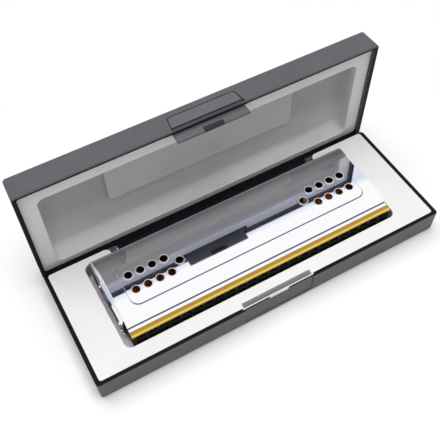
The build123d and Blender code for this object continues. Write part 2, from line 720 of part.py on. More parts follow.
with BuildPart() as upper_cover:
    add(cover_form(0))
    with BuildSketch(Plane.XY.offset(crown_z)):
        with Locations((0, emboss_middle)):
            RectangleRounded(2 * emboss_half_length, emboss_back - emboss_front, emboss_corner)
    extrude(amount=emboss_rise, taper=emboss_taper)
    with BuildSketch(Plane.XY.offset(crown_z + emboss_rise)):
        with Locations(*hole_places):
            Circle(ring_radius)
    extrude(amount=ring_rise, taper=emboss_taper)
    add(cover_form(cover_sheet), mode=Mode.SUBTRACT)
    with BuildSketch(Plane.XY.offset(crown_z - cover_sheet)):
        with Locations((0, emboss_middle)):
            RectangleRounded(2 * (emboss_half_length - cover_sheet),
                             emboss_back - emboss_front - 2 * cover_sheet,
                             emboss_corner - cover_sheet)
    extrude(amount=emboss_rise, mode=Mode.SUBTRACT)
    with BuildSketch(Plane.XY.offset(crown_z - 2 * cover_sheet)):
        with Locations(*hole_places):
            Circle(hole_radius)
    extrude(amount=cover_rise, mode=Mode.SUBTRACT)
    # only the rolled back hangs below the plate, down to the middle of the comb
    placed_box(-cover_end - 1, cover_end + 1, cover_front - 1, cover_back - cover_sheet,
               cover_low - 10, cover_foot, Mode.SUBTRACT)
    placed_box(-cover_end - 1, cover_end + 1, cover_front - 1, cover_back + 1,
               cover_low - 10, cover_low, Mode.SUBTRACT)
    for ends in both_ends(notch_half, cover_end + 1):
        placed_box(*ends, cover_front - 1, notch_y, cover_low, crown_z, Mode.SUBTRACT)
    # tabs turned down over the comb's ends, each with a nail hole
    for tab_y in (tab_middle - tab_spread, tab_middle + tab_spread):
        for ends in both_ends(comb_half, cover_end):
            placed_box(*ends, tab_y - tab_width / 2, tab_y + tab_width / 2,
                       tab_low, cover_foot + cover_sheet)
        for ends in both_ends(comb_half - 1, cover_end + 1):
            rod_along_x(*ends, tab_y, harp_z + nail_drop, nail_shank, Mode.SUBTRACT)

# ---- Nails ----
with BuildPart() as cover_nails:
    for nail_y, up in nail_places:
        for ends in both_ends(shank_start, cover_end):
            rod_along_x(*ends, nail_y, harp_z + up * nail_drop, nail_shank)
        for ends in both_ends(cover_end, cover_end + nail_rise):
            rod_along_x(*ends, nail_y, harp_z + up * nail_drop, nail_radius)

with BuildPart() as plate_nails:
    for number in plate_nail_numbers:
        nail_x = chamber_x(number) + chamber_pitch / 2
        for up in (1, -1):
            shank_z = harp_z + up * (comb_thickness / 2 + plate_brass - plate_nail_length / 2)
            head_z = harp_z + up * (comb_thickness / 2 + plate_brass + plate_nail_rise / 2)
            with Locations((nail_x, plate_nail_y, shank_z)):
                Cylinder(plate_nail_shank, plate_nail_length)
            with Locations((nail_x, plate_nail_y, head_z)):
                Cylinder(plate_nail_head, plate_nail_rise)

# ---- The lower plate, reeds and cover are the upper ones turned over ----
harp_middle = Plane.XY.offset(harp_z)
with BuildPart() as lower_reed_plate:
    mirror(upper_reed_plate.part, about=harp_middle)

with BuildPart() as lower_reeds:
    mirror(upper_reeds.part, about=harp_middle)

with BuildPart() as lower_cover:
    mirror(upper_cover.part, about=harp_middle)

# ---- Export, with the lid turned back and the harmonica slid along its recess ----
base_pieces = {
    "base_shell": base_shell.part,
    "base_tray": base_tray.part,
    "hinge_pins": hinge_pins.part,
}
harmonica_pieces = {
    "comb": comb.part,
    "upper_reed_plate": upper_reed_plate.part,
    "lower_reed_plate": lower_reed_plate.part,
    "upper_reeds": upper_reeds.part,
    "lower_reeds": lower_reeds.part,
    "upper_cover": upper_cover.part,
    "lower_cover": lower_cover.part,
    "plate_nails": plate_nails.part,
    "cover_nails": cover_nails.part,
}
lid_pieces = {
    "lid_shell": lid_shell.part,
    "lid_liner": lid_liner.part,
    "latch_button": latch_button.part,
    "latch_pin": latch_pin.part,
    "latch_spring": latch_spring.part,
}
placed_pieces = dict(base_pieces)
for name, piece in harmonica_pieces.items():
    placed_pieces[name] = piece.translate((harp_slide, 0, 0))
for name, piece in lid_pieces.items():
    placed_pieces[name] = piece.rotate(hinge_axis, -open_angle)

os.makedirs("parts", exist_ok=True)
for name, piece in placed_pieces.items():
    piece.label = name
    export_step(piece, f"parts/{name}.step")
    print(f"{name:18} {piece.volume:10.1f} mm3  {len(piece.solids())} solid(s)")
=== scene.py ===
# %% [markdown]
# # A harmonica case, standing open on a pale floor
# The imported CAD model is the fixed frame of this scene. It holds every shape of the case, the latch
# and the harmonica. This script gives each of them its finish, adds the thin rolled rims of the sound
# holes, and sets up the camera, the floor and the light. All lengths are in metres.

# %% Load the frame
import math

import bpy
from mathutils import Matrix, Vector


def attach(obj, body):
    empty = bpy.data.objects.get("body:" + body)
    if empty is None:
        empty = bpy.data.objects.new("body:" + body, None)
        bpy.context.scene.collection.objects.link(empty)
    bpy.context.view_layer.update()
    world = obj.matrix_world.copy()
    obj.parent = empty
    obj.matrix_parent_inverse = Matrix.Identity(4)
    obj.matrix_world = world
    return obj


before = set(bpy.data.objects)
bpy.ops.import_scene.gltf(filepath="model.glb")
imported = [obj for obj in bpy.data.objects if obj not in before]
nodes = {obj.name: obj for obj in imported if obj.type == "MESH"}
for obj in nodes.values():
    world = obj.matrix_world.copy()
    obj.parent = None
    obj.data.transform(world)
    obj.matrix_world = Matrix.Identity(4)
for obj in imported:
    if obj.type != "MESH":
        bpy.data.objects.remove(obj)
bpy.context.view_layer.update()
print("frame nodes:", len(nodes))

# %% [markdown]
# ## The camera
# The case is seen from its front left and from well above, so that the inside of the lid and the
# top of the harmonica both show. A camera could be aimed by angles or by a Track To constraint. Here
# the three axes of the view are written out, because they can't be misread: to the right, up and
# towards the viewer. As columns they make the camera's rotation.

# %% Camera
CAMERA_PLACE = (-0.119496, -0.197575, 0.357228)
CAMERA_RIGHT = (0.87117, -0.4905, -0.0219)
CAMERA_UP = (0.40813, 0.69864, 0.58765)
CAMERA_BACK = (-0.27294, -0.52088, 0.80882)
CAMERA_LENS = 58.27574
SENSOR_WIDTH = 36.0
NEAREST_SEEN = 0.01
FARTHEST_SEEN = 20.0

camera_data = bpy.data.cameras.new("camera")
camera_data.lens = CAMERA_LENS
camera_data.sensor_width = SENSOR_WIDTH
camera_data.clip_start = NEAREST_SEEN
camera_data.clip_end = FARTHEST_SEEN
camera = bpy.data.objects.new("camera", camera_data)
axes = Matrix((CAMERA_RIGHT, CAMERA_UP, CAMERA_BACK)).transposed()
camera.matrix_world = Matrix.Translation(CAMERA_PLACE) @ axes.to_4x4()
bpy.context.scene.collection.objects.link(camera)
bpy.context.scene.camera = camera
print("camera at", CAMERA_PLACE)

# %% [markdown]
# ## Node helpers
# Every finish below is a small node tree. A tree can be drawn by hand in the shader editor. In a
# script, a few helpers keep it short: one places a node and joins it to what feeds it, and the others
# wrap the three nodes that come back most often, Math, Map Range and Mix.


# %% Node helpers
def put(tree, kind, inputs=None, **settings):
    """Adds a node, makes its settings, and sets or links its inputs."""
    node = tree.nodes.new(kind)
    for key, value in settings.items():
        setattr(node, key, value)
    for key, value in (inputs or {}).items():
        if isinstance(value, bpy.types.NodeSocket):
            tree.links.new(value, node.inputs[key])
        else:
            node.inputs[key].default_value = value
    return node


def combine(tree, how, first, second=0.0):
    """One number made of two others by a Math node, or of one where the second isn't used."""
    return put(tree, "ShaderNodeMath", {0: first, 1: second}, operation=how).outputs[0]


def remap(tree, value, low, high, out_low, out_high):
    """Maps a value from one range to another, held at the ends."""
    return put(tree, "ShaderNodeMapRange",
               {"Value": value, "From Min": low, "From Max": high,
                "To Min": out_low, "To Max": out_high}).outputs["Result"]


def mix_colours(tree, factor, first, second):
    """Blends two colours by a factor."""
    factor_input, first_input, second_input, colour_output = 0, 6, 7, 2
    return put(tree, "ShaderNodeMix",
               {factor_input: factor, first_input: first, second_input: second},
               data_type="RGBA").outputs[colour_output]


def shaded(tree, colour, tone):
    """A colour made lighter or darker by a factor."""
    return put(tree, "ShaderNodeVectorMath", {0: colour, "Scale": tone},
               operation="SCALE").outputs["Vector"]


def new_material(name):
    """An empty material; returns it with its node tree and the tree's output node."""
    material = bpy.data.materials.new(name)
    material.use_nodes = True
    tree = material.node_tree
    tree.nodes.clear()
    return material, tree, tree.nodes.new("ShaderNodeOutputMaterial")


def finish_material(tree, output, inputs):
    """Ends a tree in one Principled shader with these inputs."""
    shader = put(tree, "ShaderNodeBsdfPrincipled", inputs)
    tree.links.new(shader.outputs["BSDF"], output.inputs["Surface"])


def dress(material, *names):
    """Puts a material on every slot of the named frame nodes."""
    for name in names:
        for slot in nodes[name].material_slots:
            slot.material = material
    print(material.name, "on", ", ".join(names))


print("node helpers ready")

# %% [markdown]
# ## Shared effects
# Plastic, flock and metal all have a grain: fine noise that changes the tone and raises the surface
# a little. The noise could be built again in every material. One node group is better: it is
# made once, and each material places it with a scale, a depth and a stretch of its own.


# %% The grain group
def new_group(name, inputs, outputs):
    """A node group with named sockets; returns it with its input and its output node."""
    tree = bpy.data.node_groups.new(name, "ShaderNodeTree")
    for label, kind, usual in inputs:
        tree.interface.new_socket(label, in_out="INPUT", socket_type=kind).default_value = usual
    for label, kind in outputs:
        tree.interface.new_socket(label, in_out="OUTPUT", socket_type=kind)
    return tree, tree.nodes.new("NodeGroupInput"), tree.nodes.new("NodeGroupOutput")


NUMBER = "NodeSocketFloat"
VECTOR = "NodeSocketVector"
EVEN = (1.0, 1.0, 1.0)

grain_tree, given, result = new_group(
    "grain",
    (("Stretch", VECTOR, EVEN), ("Scale", NUMBER, 100.0), ("Detail", NUMBER, 3.0),
     ("Roughness", NUMBER, 0.5), ("Strength", NUMBER, 0.2), ("Depth", NUMBER, 0.00001)),
    (("Factor", NUMBER), ("Normal", VECTOR)))
place = put(grain_tree, "ShaderNodeTexCoord").outputs["Object"]
stretched = put(grain_tree, "ShaderNodeMapping",
                {"Vector": place, "Scale": given.outputs["Stretch"]}).outputs["Vector"]
noise = put(grain_tree, "ShaderNodeTexNoise",
            {"Vector": stretched, "Scale": given.outputs["Scale"],
             "Detail": given.outputs["Detail"],
             "Roughness": given.outputs["Roughness"]}).outputs["Fac"]
raised = put(grain_tree, "ShaderNodeBump",
             {"Height": noise, "Strength": given.outputs["Strength"],
              "Distance": given.outputs["Depth"]}).outputs["Normal"]
grain_tree.links.new(noise, result.inputs["Factor"])
grain_tree.links.new(raised, result.inputs["Normal"])


def grain(tree, **values):
    """Places the grain group in a material with these values."""
    inputs = {label.capitalize(): value for label, value in values.items()}
    return put(tree, "ShaderNodeGroup", inputs, node_tree=grain_tree).outputs


print("grain group with", len(grain_tree.nodes), "nodes")

# %% [markdown]
# ## Dark lines
# Narrow gaps and sharp creases hold little light and show as thin dark lines: at the foot of the
# latch and along the creases of the covers. Such a line could be a painted picture, but one that is
# worked out stays sharp at any size. The second group turns a distance into a line.

# %% The line group
LINE_CORE = 0.6
LINE_EDGE = 1.2

line_tree, given, result = new_group(
    "line", (("Value", NUMBER, 0.0), ("Place", NUMBER, 0.0), ("Half", NUMBER, 0.001)),
    (("Mask", NUMBER),))
offset = combine(line_tree, "SUBTRACT", given.outputs["Value"], given.outputs["Place"])
away = combine(line_tree, "ABSOLUTE", offset)
core = combine(line_tree, "MULTIPLY", given.outputs["Half"], LINE_CORE)
edge = combine(line_tree, "MULTIPLY", given.outputs["Half"], LINE_EDGE)
line_tree.links.new(remap(line_tree, away, core, edge, 1.0, 0.0), result.inputs["Mask"])


def line(tree, value, place, half):
    """One where a value is close to a place, and none past about half the line's width."""
    return put(tree, "ShaderNodeGroup", {"Value": value, "Place": place, "Half": half},
               node_tree=line_tree).outputs["Mask"]


print("line group with", len(line_tree.nodes), "nodes")

# %% [markdown]
# ## Rims of the two shells
# The outside of the shells is grained, and the rims that they close on are smooth. Their near-black
# colour is partly painted: it stands in for the dark that the smooth rims reflect and for the shade
# on the side rims and round the hinge, while the lit rim at the top stays grey. Each rim could be a
# material slot of its own. The frame has one slot per shell, so a mask picks the rim out by its
# place: for the base by its height, and for the lid by its depth towards the roof.

# %% Rim masks
TO_RIGHT = (1.0, 0.0, 0.0)
TO_BACK = (0.0, 1.0, 0.0)
UP = (0.0, 0.0, 1.0)
INTO_LID = (0.0, 0.99956, 0.029666)
EDGE_BLEND = 0.0002
BASE_RIM_HEIGHT = 0.0158
BACK_LIP_START = 0.0300
BACK_LIP_END = 0.0310
BACK_LIP_DROP = 0.0006
LID_RIM_DEPTH = 0.0406
LID_RIM_TOP = 0.0857
HINGE_DEPTH = 0.0432
HINGE_TOP = 0.0150


def distance_along(tree, direction):
    """How far a point of the piece lies along a direction."""
    place = put(tree, "ShaderNodeTexCoord").outputs["Object"]
    return put(tree, "ShaderNodeVectorMath", {0: place, 1: direction},
               operation="DOT_PRODUCT").outputs["Value"]


def past(tree, value, level, blend=EDGE_BLEND):
    """One where a value is past a level, and none short of it."""
    return remap(tree, value, level, level + blend, 0.0, 1.0)


def short_of(tree, value, level, blend=EDGE_BLEND):
    """One where a value is short of a level, and none past it."""
    return remap(tree, value, level, level + blend, 1.0, 0.0)


def base_rim(tree):
    """One on the base's rim, which is a little lower along the back."""
    drop = remap(tree, distance_along(tree, TO_BACK), BACK_LIP_START, BACK_LIP_END,
                 0.0, BACK_LIP_DROP)
    level = combine(tree, "ADD", distance_along(tree, UP), drop)
    return past(tree, level, BASE_RIM_HEIGHT)


def lid_rim(tree):
    """One on the lid's rim and round its hinge, as painted shade, and none on the lit rim at the top,
    where the latch is.
    """
    depth = distance_along(tree, INTO_LID)
    height = distance_along(tree, UP)
    rim = combine(tree, "MULTIPLY", short_of(tree, depth, LID_RIM_DEPTH),
                  short_of(tree, height, LID_RIM_TOP))
    hinge = combine(tree, "MULTIPLY", short_of(tree, depth, HINGE_DEPTH),
                    short_of(tree, height, HINGE_TOP))
    return combine(tree, "MAXIMUM", rim, hinge)


print("rim masks for the base and the lid")

# %% [markdown]
# ## Moulded plastic of the shells
# The mould's spark-eroded face leaves a fine grain that looks grey in the light, with slow, faint
# changes of tone. Real displacement would be far too heavy for so fine a grain, so a bump stands in
# for it.

# %% Case plastic
SHELL_GREY = (0.095, 0.093, 0.104, 1.0)
# The near-black rim colour is partly the plastic's own black and partly painted dark reflection and
# shade.
RIM_BLACK_AND_SHADE = (0.008, 0.007, 0.010, 1.0)
NOISE_RANGE = (0.3, 0.7)
PATCH_SCALE = 60.0
PATCH_TONES = (0.94, 1.06)
SPARK_SCALE = 2600.0
SPARK_DETAIL = 2.0
SPARK_STRENGTH = 0.25
SPARK_DEPTH = 0.0001
ROUGHNESS_TO_RIM = (0.55, 0.4)
SHINE_TO_RIM = (0.4, 0.07)


def plastic(name, colour, dark_mask):
    """Grained plastic, smooth and nearly black where the mask is one; the black is partly painted
    shade and dark reflection.
    """
    material, tree, output = new_material(name)
    dark = dark_mask(tree)
    patches = grain(tree, scale=PATCH_SCALE)["Factor"]
    shade = shaded(tree, colour[:3], remap(tree, patches, *NOISE_RANGE, *PATCH_TONES))
    spark = grain(tree, scale=SPARK_SCALE, detail=SPARK_DETAIL, strength=SPARK_STRENGTH,
                  depth=SPARK_DEPTH)
    finish_material(tree, output, {
        "Base Color": mix_colours(tree, dark, shade, RIM_BLACK_AND_SHADE),
        "Roughness": remap(tree, dark, 0.0, 1.0, *ROUGHNESS_TO_RIM),
        "Specular IOR Level": remap(tree, dark, 0.0, 1.0, *SHINE_TO_RIM),
        "Normal": spark["Normal"]})
    return material


base_plastic = plastic("base_plastic", SHELL_GREY, base_rim)
lid_plastic = plastic("lid_plastic", SHELL_GREY, lid_rim)
dress(base_plastic, "base_shell")
dress(lid_plastic, "lid_shell")

# %% [markdown]
# ## The push latch
# The latch is moulded in the same plastic and looks a little lighter. Its panel ends above a narrow
# dark gap, and the pocket in front of its tooth lies in deep shade. Both are real hollows in the
# frame, and darker paint in them could do the rest. A mask is the same thing without a new slot: it
# widens the gap's dark line a little and deepens the pocket's shade.

# %% Latch plastic
LATCH_GREY = (0.115, 0.113, 0.126, 1.0)
PANEL_FOOT = 0.0424
WINDOW_FOOT = 0.0410
FOOT_LINE_HALF = 0.0006
PANEL_TOP = 0.0850
TOOTH_HALF = 0.0058
TOOTH_DEPTH = 0.0375
POCKET_SHADE = 0.75


def latch_shade(tree):
    """Dark along the panel's foot, and partly so in the pocket in front of the tooth."""
    depth = distance_along(tree, INTO_LID)
    across = combine(tree, "ABSOLUTE", distance_along(tree, TO_RIGHT))
    foot = combine(tree, "MAXIMUM", line(tree, depth, PANEL_FOOT, FOOT_LINE_HALF),
                   line(tree, depth, WINDOW_FOOT, FOOT_LINE_HALF))
    gap = combine(tree, "MULTIPLY", foot, past(tree, distance_along(tree, UP), PANEL_TOP))
    pocket = combine(tree, "MULTIPLY", short_of(tree, across, TOOTH_HALF),
                     short_of(tree, depth, TOOTH_DEPTH))
    return combine(tree, "MAXIMUM", gap, combine(tree, "MULTIPLY", pocket, POCKET_SHADE))


latch_plastic = plastic("latch_plastic", LATCH_GREY, latch_shade)
dress(latch_plastic, "latch_button")

# %% [markdown]
# ## Flock
# Both liners are formed sheets with short fibres on them: a soft, even surface with a fine speckle,
# a little fuzz at grazing angles and slow cloudy changes where the pile leans. Real fibres would
# mean thousands of hairs that nobody can tell apart at this size, so noise, sheen and a bump do it.

# %% Flock
SPECKLE_SCALE = 5200.0
SPECKLE_ROUGHNESS = 0.7
SPECKLE_RANGE = (0.25, 0.75)
SPECKLE_TONES = (0.93, 1.06)
PILE_STRENGTH = 0.5
PILE_DEPTH = 0.0003
CLOUD_SCALE = 38.0
CLOUD_TONES = (0.97, 1.03)
FLOCK_ROUGHNESS = 0.95
FLOCK_SHINE = 0.15
FUZZ_SPREAD = 0.5


def flock(name, colour, fuzz, shade_mask):
    """Short pile: speckled colour, full roughness, sheen, a fine bump and painted shade from its mask.
    """
    material, tree, output = new_material(name)
    pile = grain(tree, scale=SPECKLE_SCALE, roughness=SPECKLE_ROUGHNESS, strength=PILE_STRENGTH,
                 depth=PILE_DEPTH)
    clouds = grain(tree, scale=CLOUD_SCALE)["Factor"]
    speckle = remap(tree, pile["Factor"], *SPECKLE_RANGE, *SPECKLE_TONES)
    tone = combine(tree, "MULTIPLY", speckle, remap(tree, clouds, *NOISE_RANGE, *CLOUD_TONES))
    # The mask paints shade onto the pile.
    tone = combine(tree, "MULTIPLY", tone, shade_mask(tree))
    finish_material(tree, output, {
        "Base Color": shaded(tree, colour[:3], tone), "Roughness": FLOCK_ROUGHNESS,
        "Specular IOR Level": FLOCK_SHINE, "Sheen Weight": fuzz, "Sheen Roughness": FUZZ_SPREAD,
        "Normal": pile["Normal"]})
    return material


print("flock finish ready")

# %% [markdown]
# ## The base's tray
# The tray is the lighter liner. The steep walls of its recess get painted shade, darker than its top
# and its floor. They could be picked by their normals, but round edges would then blur the border. A
# mask by height is sharper, and it ends behind the latch's slot, which stays light.

# %% Tray flock
TRAY_WHITE = (0.89, 0.88, 0.885, 1.0)
TRAY_FUZZ = 0.1
RECESS_TOP = 0.0146
RECESS_FLOOR = 0.0042
FLOOR_BLEND = 0.001
RECESS_FRONT = -0.0292
# How dark the painted shade on the recess walls is.
RECESS_SHADE = 0.45


def recess_shade(tree):
    """Painted shade: darker on the walls of the recess, and unchanged elsewhere."""
    height = distance_along(tree, UP)
    wall = combine(tree, "MULTIPLY", short_of(tree, height, RECESS_TOP),
                   past(tree, height, RECESS_FLOOR, FLOOR_BLEND))
    inside = past(tree, distance_along(tree, TO_BACK), RECESS_FRONT)
    return remap(tree, combine(tree, "MULTIPLY", wall, inside), 0.0, 1.0, 1.0, RECESS_SHADE)


base_flock = flock("base_flock", TRAY_WHITE, TRAY_FUZZ, recess_shade)
dress(base_flock, "base_tray")

# %% [markdown]
# ## The lid's liner
# The lid's liner is greyer. Its pan gets painted shade, darker deeper in and higher up. Vertex colours
# could be painted on, but the frame's mesh is coarse on such flat faces. Two slow ramps, one into the
# lid and one up it, give the same change smoothly.

# %% Lid flock
LINER_GREY = (0.76, 0.745, 0.735, 1.0)
LINER_FUZZ = 0.05
PAN_SLOPE = (0.0435, 0.0522)
PAN_RISE = (0.018, 0.046)
# How dark the painted shade in the pan is.
PAN_SHADE = 0.56


def pan_shade(tree):
    """Painted shade: darker with depth and with height on the pan's floor, and unchanged elsewhere."""
    deep = remap(tree, distance_along(tree, INTO_LID), *PAN_SLOPE, 0.0, 1.0)
    high = remap(tree, distance_along(tree, UP), *PAN_RISE, 0.0, 1.0)
    return remap(tree, combine(tree, "MULTIPLY", deep, high), 0.0, 1.0, 1.0, PAN_SHADE)


lid_flock = flock("lid_flock", LINER_GREY, LINER_FUZZ, pan_shade)
dress(lid_flock, "lid_liner")

# %% [markdown]
# ## Steel and reed brass
# Rolling and drawing leave fine lines along a metal part. An anisotropic shader could smear the
# highlight along them, but pins and reeds are too small to show it. The grain group, squeezed across
# the way the lines run, changes tone, roughness and surface together, as real lines do.

# %% Plain metals
TONE_CHANGE = 0.035
ROUGHNESS_SPREAD = (0.75, 1.3)
LINES_ALONG_PIN = (1.0, 12.0, 12.0)
LINES_ALONG_REED = (8.0, 1.0, 8.0)
ROLLED_SCALE = 900.0
DRAWN_SCALE = 1500.0
PIN_STEEL = (0.70, 0.70, 0.72, 1.0)
PIN_ROUGHNESS = 0.2
SPRING_STEEL = (0.46, 0.46, 0.50, 1.0)
SPRING_ROUGHNESS = 0.3
NAIL_STEEL = (0.88, 0.88, 0.90, 1.0)
NAIL_ROUGHNESS = 0.15
REED_BRASS = (0.72, 0.34, 0.12, 1.0)
REED_ROUGHNESS = 0.28


def metal(name, colour, roughness, tarnish_and_painted_light=None, tone_change=TONE_CHANGE, **lines):
    """A metal with fine lines in its surface, and a colour function over it where one is given:
    tarnish and painted shade on the plates, painted reflection and shade on the chrome.
    """
    material, tree, output = new_material(name)
    worked = grain(tree, **lines)
    tone = remap(tree, worked["Factor"], *NOISE_RANGE, 1.0 - tone_change, 1.0 + tone_change)
    spread = [roughness * share for share in ROUGHNESS_SPREAD]
    base = tarnish_and_painted_light(tree, colour) if tarnish_and_painted_light else colour[:3]
    finish_material(tree, output, {
        "Base Color": shaded(tree, base, tone), "Metallic": 1.0,
        "Roughness": remap(tree, worked["Factor"], *NOISE_RANGE, *spread),
        "Normal": worked["Normal"]})
    return material


pin_steel = metal("pin_steel", PIN_STEEL, PIN_ROUGHNESS, scale=DRAWN_SCALE,
                  stretch=LINES_ALONG_PIN)
spring_steel = metal("spring_steel", SPRING_STEEL, SPRING_ROUGHNESS, scale=DRAWN_SCALE,
                     stretch=LINES_ALONG_PIN)
nail_steel = metal("nail_steel", NAIL_STEEL, NAIL_ROUGHNESS, scale=DRAWN_SCALE)
reed_brass = metal("reed_brass", REED_BRASS, REED_ROUGHNESS, scale=ROLLED_SCALE,
                   stretch=LINES_ALONG_REED)
dress(pin_steel, "hinge_pins", "latch_pin")
dress(spring_steel, "latch_spring")
dress(nail_steel, "plate_nails", "cover_nails")
dress(reed_brass, "upper_reeds", "lower_reeds")

# %% [markdown]
# ## The reed plates
# The two plates are rolled brass. Their front edge shows the bright brass, a darker band of painted
# shade follows at the cover's foot, and the brass inside the covers has turned warm and brown. The
# colour changes with the distance from the front, so two masks along y are all it takes.

# %% Plate brass
PLATE_BRASS = (0.88, 0.60, 0.09, 1.0)
# Painted shade in a band at the cover's foot.
PLATE_SHADE = (0.46, 0.28, 0.07, 1.0)
PLATE_WARM = (0.62, 0.27, 0.09, 1.0)
PLATE_ROUGHNESS = 0.26
LINES_ALONG_PLATE = (1.0, 8.0, 8.0)
COVER_FOOT = -0.0227
COVER_FOOT_BLEND = 0.0004
PLATE_INSIDE = -0.0195
PLATE_INSIDE_BLEND = 0.001


def plate_shade_and_tarnish(tree, colour):
    """Bright at the mouth edge, darker with painted shade at the cover's foot, and warm inside."""
    along = distance_along(tree, TO_BACK)
    foot = past(tree, along, COVER_FOOT, COVER_FOOT_BLEND)
    inside = past(tree, along, PLATE_INSIDE, PLATE_INSIDE_BLEND)
    return mix_colours(tree, inside, mix_colours(tree, foot, colour, PLATE_SHADE), PLATE_WARM)


plate_brass = metal("plate_brass", PLATE_BRASS, PLATE_ROUGHNESS, tarnish_and_painted_light=plate_shade_and_tarnish,
                    scale=ROLLED_SCALE, stretch=LINES_ALONG_PLATE)
dress(plate_brass, "upper_reed_plate", "lower_reed_plate")

# %% [markdown]
# ## The covers' raised panel
# Each cover has a raised panel with round corners. Its edge is a small step, and the dark outline
# along it is painted shade. The distance from that outline is the usual one for a round-cornered box:
# fold the plan into one quarter, measure from the centre of the corner and take off the corner's
# radius.

# %% Panel outline
HARP_MIDDLE = 0.0008
PANEL_MIDDLE = 0.0039
PANEL_HALF_LENGTH = 0.0756
PANEL_HALF_DEPTH = 0.0140
PANEL_CORNER = 0.0050


def panel_distance(tree):
    """Distance in plan from the outline of a cover's raised panel."""
    place = put(tree, "ShaderNodeTexCoord").outputs["Object"]
    shifted = put(tree, "ShaderNodeVectorMath", {0: place, 1: (HARP_MIDDLE, PANEL_MIDDLE, 0.0)},
                  operation="SUBTRACT").outputs["Vector"]
    quarter = put(tree, "ShaderNodeVectorMath", {0: shifted},
                  operation="ABSOLUTE").outputs["Vector"]
    corner = (PANEL_HALF_LENGTH - PANEL_CORNER, PANEL_HALF_DEPTH - PANEL_CORNER, 1.0)
    reach = put(tree, "ShaderNodeVectorMath", {0: quarter, 1: corner},
                operation="SUBTRACT").outputs["Vector"]
    outside = put(tree, "ShaderNodeVectorMath", {0: reach, 1: (0.0, 0.0, 0.0)},
                  operation="MAXIMUM").outputs["Vector"]
    away = put(tree, "ShaderNodeVectorMath", {0: outside}, operation="LENGTH").outputs["Value"]
    return combine(tree, "SUBTRACT", away, PANEL_CORNER)


print("panel outline ready")

# %% [markdown]
# ## Chrome
# The covers are polished chrome, which shows what stands round it: the white room and the open lid.
# A plain mirror is nearly enough. What it lacks is the room's changing tone, from neutral over the
# front to bluish and then darker at the rolled back, so a colour ramp along y paints that reflection
# into the colour. The crease above the foot and the panel's outline get painted shade, and the
# outline fades towards the back.

# %% Cover chrome
COVER_CHROME = (0.96, 0.96, 0.975, 1.0)
CHROME_ROUGHNESS = 0.03
CHROME_TONE_CHANGE = 0.004
CHROME_SCALE = 220.0
POLISH_DEPTH = 0.000001
# Painted shade in the crease and along the panel's outline.
CREASE_SHADE_BLUE = (0.055, 0.05, 0.14, 1.0)
CREASE_PLACE = -0.0183
CREASE_HALF = 0.0005
OUTLINE_HALF = 0.00035
OUTLINE_FADE = (-0.0085, -0.0045)
OUTLINE_STRENGTH = (0.9, 0.25)
BANDS_START = -0.0050
BANDS_END = 0.0350
# Painted reflection of the room, in bands from the front of a cover to its back.
CHROME_REFLECTION_BANDS = (
    (-0.0030, (1.00, 1.00, 1.00, 1.0)), (0.0020, (0.68, 0.73, 0.88, 1.0)),
    (0.0090, (0.76, 0.80, 0.93, 1.0)), (0.0170, (0.97, 0.97, 1.00, 1.0)),
    (0.0225, (0.85, 0.85, 0.88, 1.0)), (0.0255, (0.58, 0.58, 0.62, 1.0)),
    (0.0305, (0.70, 0.70, 0.73, 1.0)))


def painted_chrome_reflection(tree, along):
    """The painted reflection's tone, from the front of a cover to its back."""
    share = remap(tree, along, BANDS_START, BANDS_END, 0.0, 1.0)
    ramp = put(tree, "ShaderNodeValToRGB", {"Fac": share})
    stops = ramp.color_ramp.elements
    while len(stops) < len(CHROME_REFLECTION_BANDS):
        stops.new(0.5)
    for stop, (at, tone) in zip(stops, CHROME_REFLECTION_BANDS):
        stop.position = (at - BANDS_START) / (BANDS_END - BANDS_START)
        stop.color = tone
    return ramp.outputs["Color"]


def chrome_reflection_and_shade(tree, colour):
    """Chrome in its painted reflection bands, with painted shade in the crease and along the panel's
    outline.
    """
    along = distance_along(tree, TO_BACK)
    tinted = put(tree, "ShaderNodeVectorMath", {0: painted_chrome_reflection(tree, along), 1: colour[:3]},
                 operation="MULTIPLY").outputs["Vector"]
    outline = combine(tree, "MULTIPLY", line(tree, panel_distance(tree), 0.0, OUTLINE_HALF),
                      remap(tree, along, *OUTLINE_FADE, *OUTLINE_STRENGTH))
    dark = combine(tree, "MAXIMUM", line(tree, along, CREASE_PLACE, CREASE_HALF), outline)
    return mix_colours(tree, dark, tinted, CREASE_SHADE_BLUE)


cover_chrome = metal("cover_chrome", COVER_CHROME, CHROME_ROUGHNESS, tarnish_and_painted_light=chrome_reflection_and_shade,
                     tone_change=CHROME_TONE_CHANGE, scale=CHROME_SCALE, depth=POLISH_DEPTH)
dress(cover_chrome, "upper_cover", "lower_cover")

# %% [markdown]
# ## The comb
# The comb is black moulded plastic, and its small deep chambers let little light back out. It could
# share the shells' material with a colour of its own. But it has no dark rim, so it gets a shorter
# tree with the same two grains and a plain roughness and shine.

# %% Comb plastic
COMB_BLACK = (0.018, 0.016, 0.018, 1.0)
COMB_ROUGHNESS = 0.55
COMB_SHINE = 0.4

comb_plastic, tree, output = new_material("comb_plastic")
patches = grain(tree, scale=PATCH_SCALE)["Factor"]
spark = grain(tree, scale=SPARK_SCALE, detail=SPARK_DETAIL, strength=SPARK_STRENGTH,
              depth=SPARK_DEPTH)
finish_material(tree, output, {
    "Base Color": shaded(tree, COMB_BLACK[:3], remap(tree, patches, *NOISE_RANGE, *PATCH_TONES)),
    "Roughness": COMB_ROUGHNESS, "Specular IOR Level": COMB_SHINE, "Normal": spark["Normal"]})
dress(comb_plastic, "comb")

# %% [markdown]
# ## Rolled rim of a sound hole
# Each hole's collar ends in a thin rolled edge that catches the light. A ready-made torus would
# do, but spinning shows how the form comes about, and any other section can be spun the same way: the
# round section of the bead is drawn beside the hole's axis and spun once round it. The seam is
# then merged and the faces are turned out.

# %% One rim
RIM_RADIUS = 0.00265
BEAD_RADIUS = 0.00035
BEAD_SIDES = 10
RIM_STEPS = 32
SEAM_GAP = 0.000001
QUARTER_TURN = math.radians(90.0)

